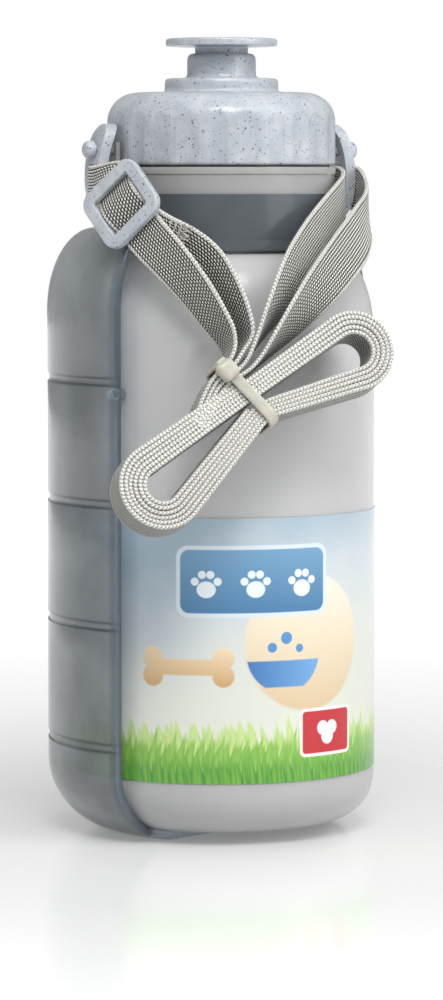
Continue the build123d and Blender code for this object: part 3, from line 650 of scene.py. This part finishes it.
# Free legs: control points of their middle lines (across, outward, up, mm) and the way their width lies
LEGS = {
    "strap_right_outer": [
        ((33.2, -15.5, 172.4), (0, 0, 1)), ((34.4, -16.1, 172.4), (0, 0, 1)),
        ((35.4, -15.7, 172.4), (0, 0, 1)), ((37.4, -11.3, 172.4), (0, 0, 1)),
        ((39.5, 2, 166.5), (0, 0, 1)), ((37.3, 14, 161.8), (-0.35, 0.1, 0.93)),
        ((34, 26, 157), (-0.6, 0.2, 0.77)), ((29, 37.3, 151), (-0.62, 0.4, 0.68)),
        ((23.2, 45.3, 144.1), (-0.5, 0.62, 0.6)), ((17.2, 48.4, 136.8), (-0.21, 0.83, 0.52)),
        ((12, 49.6, 130.8), (0.1, 0.91, 0.4)), ((7.2, 51.4, 125.9), (0.24, 0.93, 0.28)),
        ((3.4, 53.1, 123.4), (0.24, 0.93, 0.28)), ((0.9, 54.3, 121.8), (0.24, 0.93, 0.28)),
    ],
    "strap_right_inner": [
        ((33.2, -15.5, 172.4), (0, 0, 1)), ((31.9, -14.9, 172.4), (0, 0, 1)),
        ((30.1, -13.2, 172.4), (0, 0, 1)), ((32.1, -8.8, 172.4), (0, 0, 1)),
        ((33, 3, 170.5), (0, 0, 1)), ((30.6, 13, 167.3), (-0.1, 0.1, 0.99)),
        ((27, 23.5, 163), (-0.3, 0.35, 0.89)), ((23, 34, 157.6), (-0.45, 0.5, 0.74)),
        ((18.6, 43.3, 151.1), (-0.45, 0.6, 0.66)), ((14.6, 48.2, 143.2), (-0.25, 0.76, 0.6)),
        ((10.8, 49.6, 136.4), (0.05, 0.86, 0.51)), ((8.4, 50.3, 132.2), (0.15, 0.9, 0.4)),
        ((5.6, 51.3, 127.6), (0.24, 0.93, 0.28)), ((2.4, 53, 124.4), (0.24, 0.93, 0.28)),
        ((0, 54.2, 122.7), (0.24, 0.93, 0.28)),
    ],
    "strap_left_back": [
        ((-33.2, 15.5, 172.4), (0, 0, 1)), ((-31.9, 14.9, 172.4), (0, 0, 1)),
        ((-29.4, 14.5, 172.4), (0, 0, 1)), ((-27.4, 18.9, 172.4), (0, 0, 1)),
        ((-26.3, 25.1, 174.1), (0.67, 0.3, 0.68)), ((-23.5, 33.6, 167.6), (0.67, 0.3, 0.68)),
        ((-19.5, 37.9, 161.8), (0.67, 0.3, 0.68)), ((-5, 46, 155.5), (0.62, 0.45, 0.64)),
        ((1, 49, 146.6), (0.55, 0.61, 0.57)), ((5, 49.6, 137.5), (0.45, 0.75, 0.48)),
        ((5.9, 49.8, 133), (0.35, 0.86, 0.38)), ((4, 51.2, 129.2), (0.24, 0.93, 0.28)),
        ((1.5, 53, 125.5), (0.24, 0.93, 0.28)), ((-0.8, 54.1, 123.6), (0.24, 0.93, 0.28)),
    ],
    "strap_left_front": [
        ((-33.2, 15.5, 172.4), (0, 0, 1)), ((-34.4, 16.1, 172.4), (0, 0, 1)),
        ((-34.8, 17, 172.4), (0, 0, 1)), ((-32.7, 21.4, 172.4), (0, 0, 1)),
        ((-29.1, 29.1, 175.1), (0.67, 0.3, 0.68)), ((-27.6, 32, 172.4), (0.67, 0.3, 0.68)),
        ((-27.1, 36.5, 169.9), (0.67, 0.3, 0.68)), ((-25.3, 38.3, 167.3), (0.67, 0.3, 0.68)),
        ((-21.6, 38.4, 163.7), (0.67, 0.3, 0.68)), ((-19.7, 40.5, 160.8), (0.67, 0.3, 0.68)),
        ((-12.9, 47, 153.8), (0.62, 0.45, 0.64)), ((-6.7, 49.8, 146.4), (0.55, 0.61, 0.57)),
        ((-1.5, 50.6, 138.8), (0.45, 0.75, 0.48)), ((1.3, 50.3, 134.2), (0.35, 0.86, 0.38)),
        ((2.5, 51.1, 130.9), (0.24, 0.93, 0.28)), ((0.5, 52.9, 126.5), (0.24, 0.93, 0.28)),
        ((-1.7, 54.1, 124.5), (0.24, 0.93, 0.28)),
    ],
}
# Beyond the tie the legs sink into the hank's upper bundle: (onward, inward) from a leg's last point, mm
SUNK_END = ((3.0, 0.1), (7.0, 1.4), (11.0, 3.2), (14.0, 5.0))


def strap_rows(route):
    """Rows of (middle, across) of the strap, for control points and leans in mm."""
    edges = []
    for sign in (-1, 1):
        edges.append(spline_points([
            front(*p) + front(*lean).normalized() * sign * STRAP_HALF_WIDTH * MM for p, lean in route]))
    return [((a + b) / 2, (b - a).normalized()) for a, b in zip(*edges)]


for leg, route in LEGS.items():
    end, lean = route[-1]
    sunk = []
    for onward, inward in SUNK_END:
        v = HANK_ON * onward - HANK_UP * inward
        sunk.append((Vector(end) + Vector((v.dot(ACROSS), v.dot(OUTWARD), v.z)), lean))
    rows = evenly(strap_rows([*route, *sunk]), STRAP_ROW * MM)
    piece = band(leg + "_webbing", rows, STRAP_HALF_WIDTH, 1.0, webbing, "strap_body", 30, 0.06)
    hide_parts(leg)

# Hank: one strip wound in two lobes, each turn half a pitch further out
WAIST = front(5.5, 48.4, 115.8)
HANK_X = (ACROSS - HANK_OUT * ACROSS.dot(HANK_OUT)).normalized()
HANK_Y = HANK_OUT.cross(HANK_X)
HANK_PITCH = 1.22     # mm between layers in the lobes
HANK_STEPS = 11       # half turns
WAIST_PITCH = 1.05    # mm between layers at the waist
WAIST_BEND = 16.0     # mm, radius of a run's bend at the waist
HANK_ROW = 0.32       # mm between the rows of the hank's mesh
BEND_STEP = 0.5       # mm between the points of a bend
# Each lobe: angle in the hank's plane, length and the radius of its hole's end
LOBES = {"left": (224.9, 33.6, 4.6), "right": (28.4, 30.6, 4.4)}


def lobe_point(side, x, y):
    """A point of the hank's plane from a lobe's own x, along it, and y."""
    angle = math.radians(LOBES[side][0])
    return Vector((x * math.cos(angle) - y * math.sin(angle), x * math.sin(angle) + y * math.cos(angle)))


def lobe_radius(side, step):
    return LOBES[side][2] + step * HANK_PITCH / 2


def waist_row(side, step, sign):
    """Which run of its bundle this is at the waist, and whether the bundle is the upper one."""
    upper = (side == "left") == (sign < 0)
    return ((step + 1) // 2 if side == "right" and not upper else step // 2), upper


def waist_point(side, step, sign):
    """Where a run crosses the waist."""
    row, upper = waist_row(side, step, sign)
    reach = (row + 0.5) * WAIST_PITCH
    return lobe_point("left", 0, -reach if upper else reach)


def lobe_line(side, step, sign):
    """A run from the waist to the lobe's end, as a point and a direction."""
    start = waist_point(side, step, sign)
    to_centre = lobe_point(side, LOBES[side][1], 0) - start
    spread = math.asin(lobe_radius(side, step) / to_centre.length)
    heading = math.atan2(to_centre.y, to_centre.x) + sign * spread
    return start, Vector((math.cos(heading), math.sin(heading)))


def crossing(first, second):
    """Where two lines meet, each a point and a direction."""
    (p, d), (q, e) = first, second
    return p + d * ((q - p).cross(e) / d.cross(e))


# The strip's path as a row of corners, each with the radius that rounds it
corners = []
for step in range(HANK_STEPS):
    side = ("left", "right")[step % 2]
    if step:
        row, upper = waist_row(side, step, 1)
        bend = 3 * WAIST_BEND + row * WAIST_PITCH if upper else WAIST_BEND - row * WAIST_PITCH
        corners.append((waist_point(side, step, 1), bend))
    radius = lobe_radius(side, step)
    end_line = (lobe_point(side, LOBES[side][1] + radius, 0), lobe_point(side, 0, 1))
    corners += [(crossing(lobe_line(side, step, sign), end_line), 0.995 * radius) for sign in (1, -1)]
first = lobe_line("left", 0, 1)
last = lobe_line("left", HANK_STEPS - 1, -1)
route = [(first[0] + first[1] * 3.2, 0), *corners, (last[0] + last[1] * 1.6, 0)]
line = [route[0][0]]
for (before, _), (corner, radius), (after, _) in zip(route, route[1:], route[2:]):
    into = (corner - before).normalized()
    away = (after - corner).normalized()
    turn = math.acos(max(-1, min(1, into.dot(away))))
    reach = radius * math.tan(turn / 2)
    bends = 1 if into.cross(away) > 0 else -1
    normal = Vector((-into.y, into.x)) * bends
    centre = corner - into * reach + normal * radius
    pieces = max(3, math.ceil(turn * radius / BEND_STEP))
    arm = -normal * radius
    for k in range(pieces + 1):
        c = math.cos(bends * turn * k / pieces)
        s = math.sin(bends * turn * k / pieces)
        line.append(centre + Vector((arm.x * c - arm.y * s, arm.x * s + arm.y * c)))
line.append(route[-1][0])
# Away from the waist the layers' front edges stand a little proud or back, as hand-wound ones do
rows = []
travelled = 0.0
for i, p in enumerate(line):
    travelled += (p - line[i - 1]).length if i else 0
    proud = 0.25 * math.sin(travelled / 23.0) + 0.2 * math.sin(travelled / 9.7)
    away_from_waist = min(1.0, max(0.0, (p.length - 8) / 12))
    depth = STRAP_HALF_WIDTH + proud * away_from_waist
    rows.append((WAIST + (HANK_X * p.x + HANK_Y * p.y + HANK_OUT * depth) * MM, HANK_OUT))
rows = evenly(rows, HANK_ROW * MM)
hank = band("strap_hank_webbing", rows, STRAP_HALF_WIDTH, 1.1, webbing, "strap_body", 8, 0.05)
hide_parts("strap_hank")

# Folded end: the strap's cut end lies between its two legs below the slider and is sewn to the back one
FOLD_FROM = -20.5     # mm across, where the folded end begins and stops
FOLD_TO = -9.6
FOLD_LIFT = 0.92      # mm from the back leg's middle to the fold's
lift = front(-0.56, 0.8, 0.2).normalized()
rows = []
for middle, across in strap_rows(LEGS["strap_left_back"]):
    if FOLD_FROM < middle.dot(ACROSS) / MM < FOLD_TO:
        rows.append((middle + lift * FOLD_LIFT * MM, across))
rows = evenly(rows, STRAP_ROW * MM)
fold = band("folded_end_webbing", rows, STRAP_HALF_WIDTH - 0.15, 0.8, webbing, "strap_body", 30, 0.05)


def thread_curve(name, strands, radius_mm):
    """Tubes of thread along smooth strands of points, as one mesh."""
    deselect()
    curve = bpy.data.curves.new(name, "CURVE")
    curve.dimensions = "3D"
    curve.bevel_depth = radius_mm * MM
    curve.bevel_resolution = 2
    curve.resolution_u = 3
    curve.use_fill_caps = True
    for strand in strands:
        spline = curve.splines.new("NURBS")
        spline.points.add(len(strand) - 1)
        for control, point in zip(spline.points, strand):
            control.co = (*point, 1)
        spline.order_u = 3
        spline.use_endpoint_u = True
    holder = bpy.data.objects.new(name + "_path", curve)
    bpy.context.scene.collection.objects.link(holder)
    mesh = bpy.data.meshes.new_from_object(holder)
    bpy.data.objects.remove(holder)
    bpy.data.curves.remove(curve)
    mesh.name = name
    mesh.materials.clear()
    mesh.materials.append(thread)
    piece = bpy.data.objects.new(name, mesh)
    bpy.context.scene.collection.objects.link(piece)
    piece.select_set(True)
    bpy.context.view_layer.objects.active = piece
    bpy.ops.object.shade_smooth()
    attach(piece, "strap_body")
    return piece


# Bar tack: three zigzag rows across the strap, and the loose tails of their thread at the cut end
TACK_HALF = 4.9       # mm, half the length of a row of stitches
TACK_SWING = 0.42     # mm to each side of the row
TACK_STITCHES = 24
TAILS = 16
strands = []
tack_across = front(0.37, 0.16, 0.93).normalized()
tack_along = front(0.82, 0.455, -0.35).normalized()
for middle in ((-12.5, 42.4, 158.7), (-11.2, 43.2, 158.1), (-13.8, 41.7, 159.2)):
    strand = []
    for k in range(TACK_STITCHES + 1):
        reach = TACK_HALF * (2 * k / TACK_STITCHES - 1)
        swing = TACK_SWING if k % 2 else -TACK_SWING
        strand.append(front(*middle) + (tack_across * reach + tack_along * swing) * MM + lift * 1.45 * MM)
    strands.append(strand)
for k in range(TAILS):
    off_across = tack_across * (-1.0 + 0.42 * k)
    off_along = tack_along * (0.4 + 0.5 * math.sin(3.1 * k))
    root = front(-11.0, 43.2, 158.6) + (off_across + off_along) * MM
    tail = [root + lift * 1.2 * MM]
    for j in range(1, 4):
        along = tack_along * (0.75 * j * (1 + 0.3 * math.sin(1.7 * k)))
        aside = tack_across * (0.5 * math.sin(2.3 * k + 1.1 * j))
        tail.append(root + (along + aside + lift * (1.4 + 0.25 * math.sin(1.3 * k + j))) * MM)
    strands.append(tail)
stitches = thread_curve("bar_tack_thread", strands, 0.2)
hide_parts("strap_stitching")

# Cable tie: thin band round the waist, its ratchet head at the upper end with the cut tail; sizes in mm
TIE_MIDDLE = front(5.295, 53.877, 119.224)
TIE_ALONG = HANK_OUT.cross(HANK_UP)
TIE_HALF_DEPTH = 6.8
TIE_HALF_HEIGHT = 10.2
TIE_CORNER = 2.8
rows = []
for quarter in range(4):
    turn = math.pi / 2 * quarter
    for k in range(9):
        swing = turn + math.pi / 2 * k / 8
        reach_x = (TIE_HALF_DEPTH - TIE_CORNER) * (1 if quarter in (0, 3) else -1)
        reach_y = (TIE_HALF_HEIGHT - TIE_CORNER) * (1 if quarter in (0, 1) else -1)
        x = reach_x + TIE_CORNER * math.cos(swing)
        y = reach_y + TIE_CORNER * math.sin(swing)
        rows.append((TIE_MIDDLE + (HANK_OUT * x + HANK_UP * y) * MM, TIE_ALONG))
rows.append(rows[0])
tie = band("nylon_tie", evenly(rows, 0.4 * MM), 1.6, 1.0, nylon, "strap_body", 4, 0.0)
head_frame = Matrix((HANK_OUT, HANK_UP, TIE_ALONG)).transposed().to_4x4()
for name, size, where in (
    ("tie_head", (3.4, 5.2, 5.2), (7.9, 7.6, 0.6)), ("tie_tail", (1.0, 1.6, 2.8), (8.2, 10.2, 0.4)),
):
    deselect()
    bpy.ops.mesh.primitive_cube_add(size=1)
    block = bpy.context.object
    block.name = name
    spot = TIE_MIDDLE + (HANK_OUT * where[0] + HANK_UP * where[1] + TIE_ALONG * where[2]) * MM
    stretch = Matrix.Diagonal((*[v * MM for v in size], 1))
    block.data.transform(Matrix.Translation(spot) @ head_frame @ stretch)
    rounding = block.modifiers.new("rounding", "BEVEL")
    rounding.width = min(size) * 0.42 * MM
    rounding.segments = 5
    bpy.ops.object.modifier_apply(modifier=rounding.name)
    bpy.ops.object.shade_smooth()
    block.data.materials.append(nylon)
    deselect()
    block.select_set(True)
    tie.select_set(True)
    bpy.context.view_layer.objects.active = tie
    bpy.ops.object.join()
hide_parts("cable_tie")

# Rigid pieces whose edges the CAD model leaves sharp
remoulded("cap", 0.5, speckled, "cap_body")
remoulded("spout", 0.3, speckled, "spout_body")
softened("bowl", 0.4, bowl_plastic, "bowl_body", 40)
softened("slider", 0.5, speckled, "strap_body")
softened("left_ear", 0.6, speckled, "strap_body")
softened("right_ear", 0.6, speckled, "strap_body")

# Floor: plain and pale; a glow that grows with distance turns it white to the camera away from the set
deselect()
bpy.ops.mesh.primitive_plane_add(size=6)
floor = bpy.context.object
floor.name = "studio_floor"
floor_material, tree, body = new_material("studio_floor", Roughness=0.14, IOR=1.66)
body.inputs["Base Color"].default_value = linear("#e3e3e3")
path = add(tree, "ShaderNodeLightPath")
seen = math_node(tree, "MAXIMUM", path.outputs["Is Camera Ray"], path.outputs["Is Transmission Ray"])
seen = math_node(tree, "MAXIMUM", seen, path.outputs["Is Glossy Ray"])
far = add(tree, "ShaderNodeVectorMath", {0: place(tree)}, operation="LENGTH").outputs["Value"]
fade = map_range(tree, far, 0.12, 0.8, 0.19, 0.85)
glow = add(tree, "ShaderNodeEmission", {
    "Color": (1, 1, 1, 1), "Strength": math_node(tree, "MULTIPLY", seen, fade)})
lit = add(tree, "ShaderNodeAddShader", {0: body.outputs[0], 1: glow.outputs[0]})
tree.links.new(lit.outputs[0], tree.nodes["Material Output"].inputs["Surface"])
floor.data.materials.append(floor_material)

# World: even grey light, white where the camera looks at it, straight or through a clear wall
world = bpy.data.worlds.new("studio")
bpy.context.scene.world = world
world.use_nodes = True
tree = world.node_tree
path = add(tree, "ShaderNodeLightPath")
seen = math_node(tree, "MAXIMUM", path.outputs["Is Camera Ray"], path.outputs["Is Transmission Ray"])
strength = math_node(tree, "MULTIPLY_ADD", seen, 0.6, 0.4)
tree.links.new(strength, tree.nodes["Background"].inputs["Strength"])
tree.nodes["Background"].inputs["Color"].default_value = (1, 1, 1, 1)


def softbox(name, u, w, z, width, height, power):
    """An area lamp at a place in mm, with a size in metres and a power in watts, aimed at the bottle."""
    deselect()
    bpy.ops.object.light_add(type="AREA")
    lamp = bpy.context.object
    lamp.name = name
    lamp.location = front(u, w, z)
    lamp.rotation_euler = (front(0, 0, 100) - lamp.location).to_track_quat("-Z", "Y").to_euler()
    lamp.data.shape = "RECTANGLE"
    lamp.data.size = width
    lamp.data.size_y = height
    lamp.data.energy = power


softbox("softbox_right", 900, 500, 700, 0.7, 1.1, 7.5)
softbox("softbox_left", -900, 350, 600, 0.6, 1.1, 1.2)
softbox("softbox_front", 100, 950, 1150, 0.6, 0.4, 10)
softbox("softbox_top", 0, 200, 1200, 1.0, 1.0, 2.5)
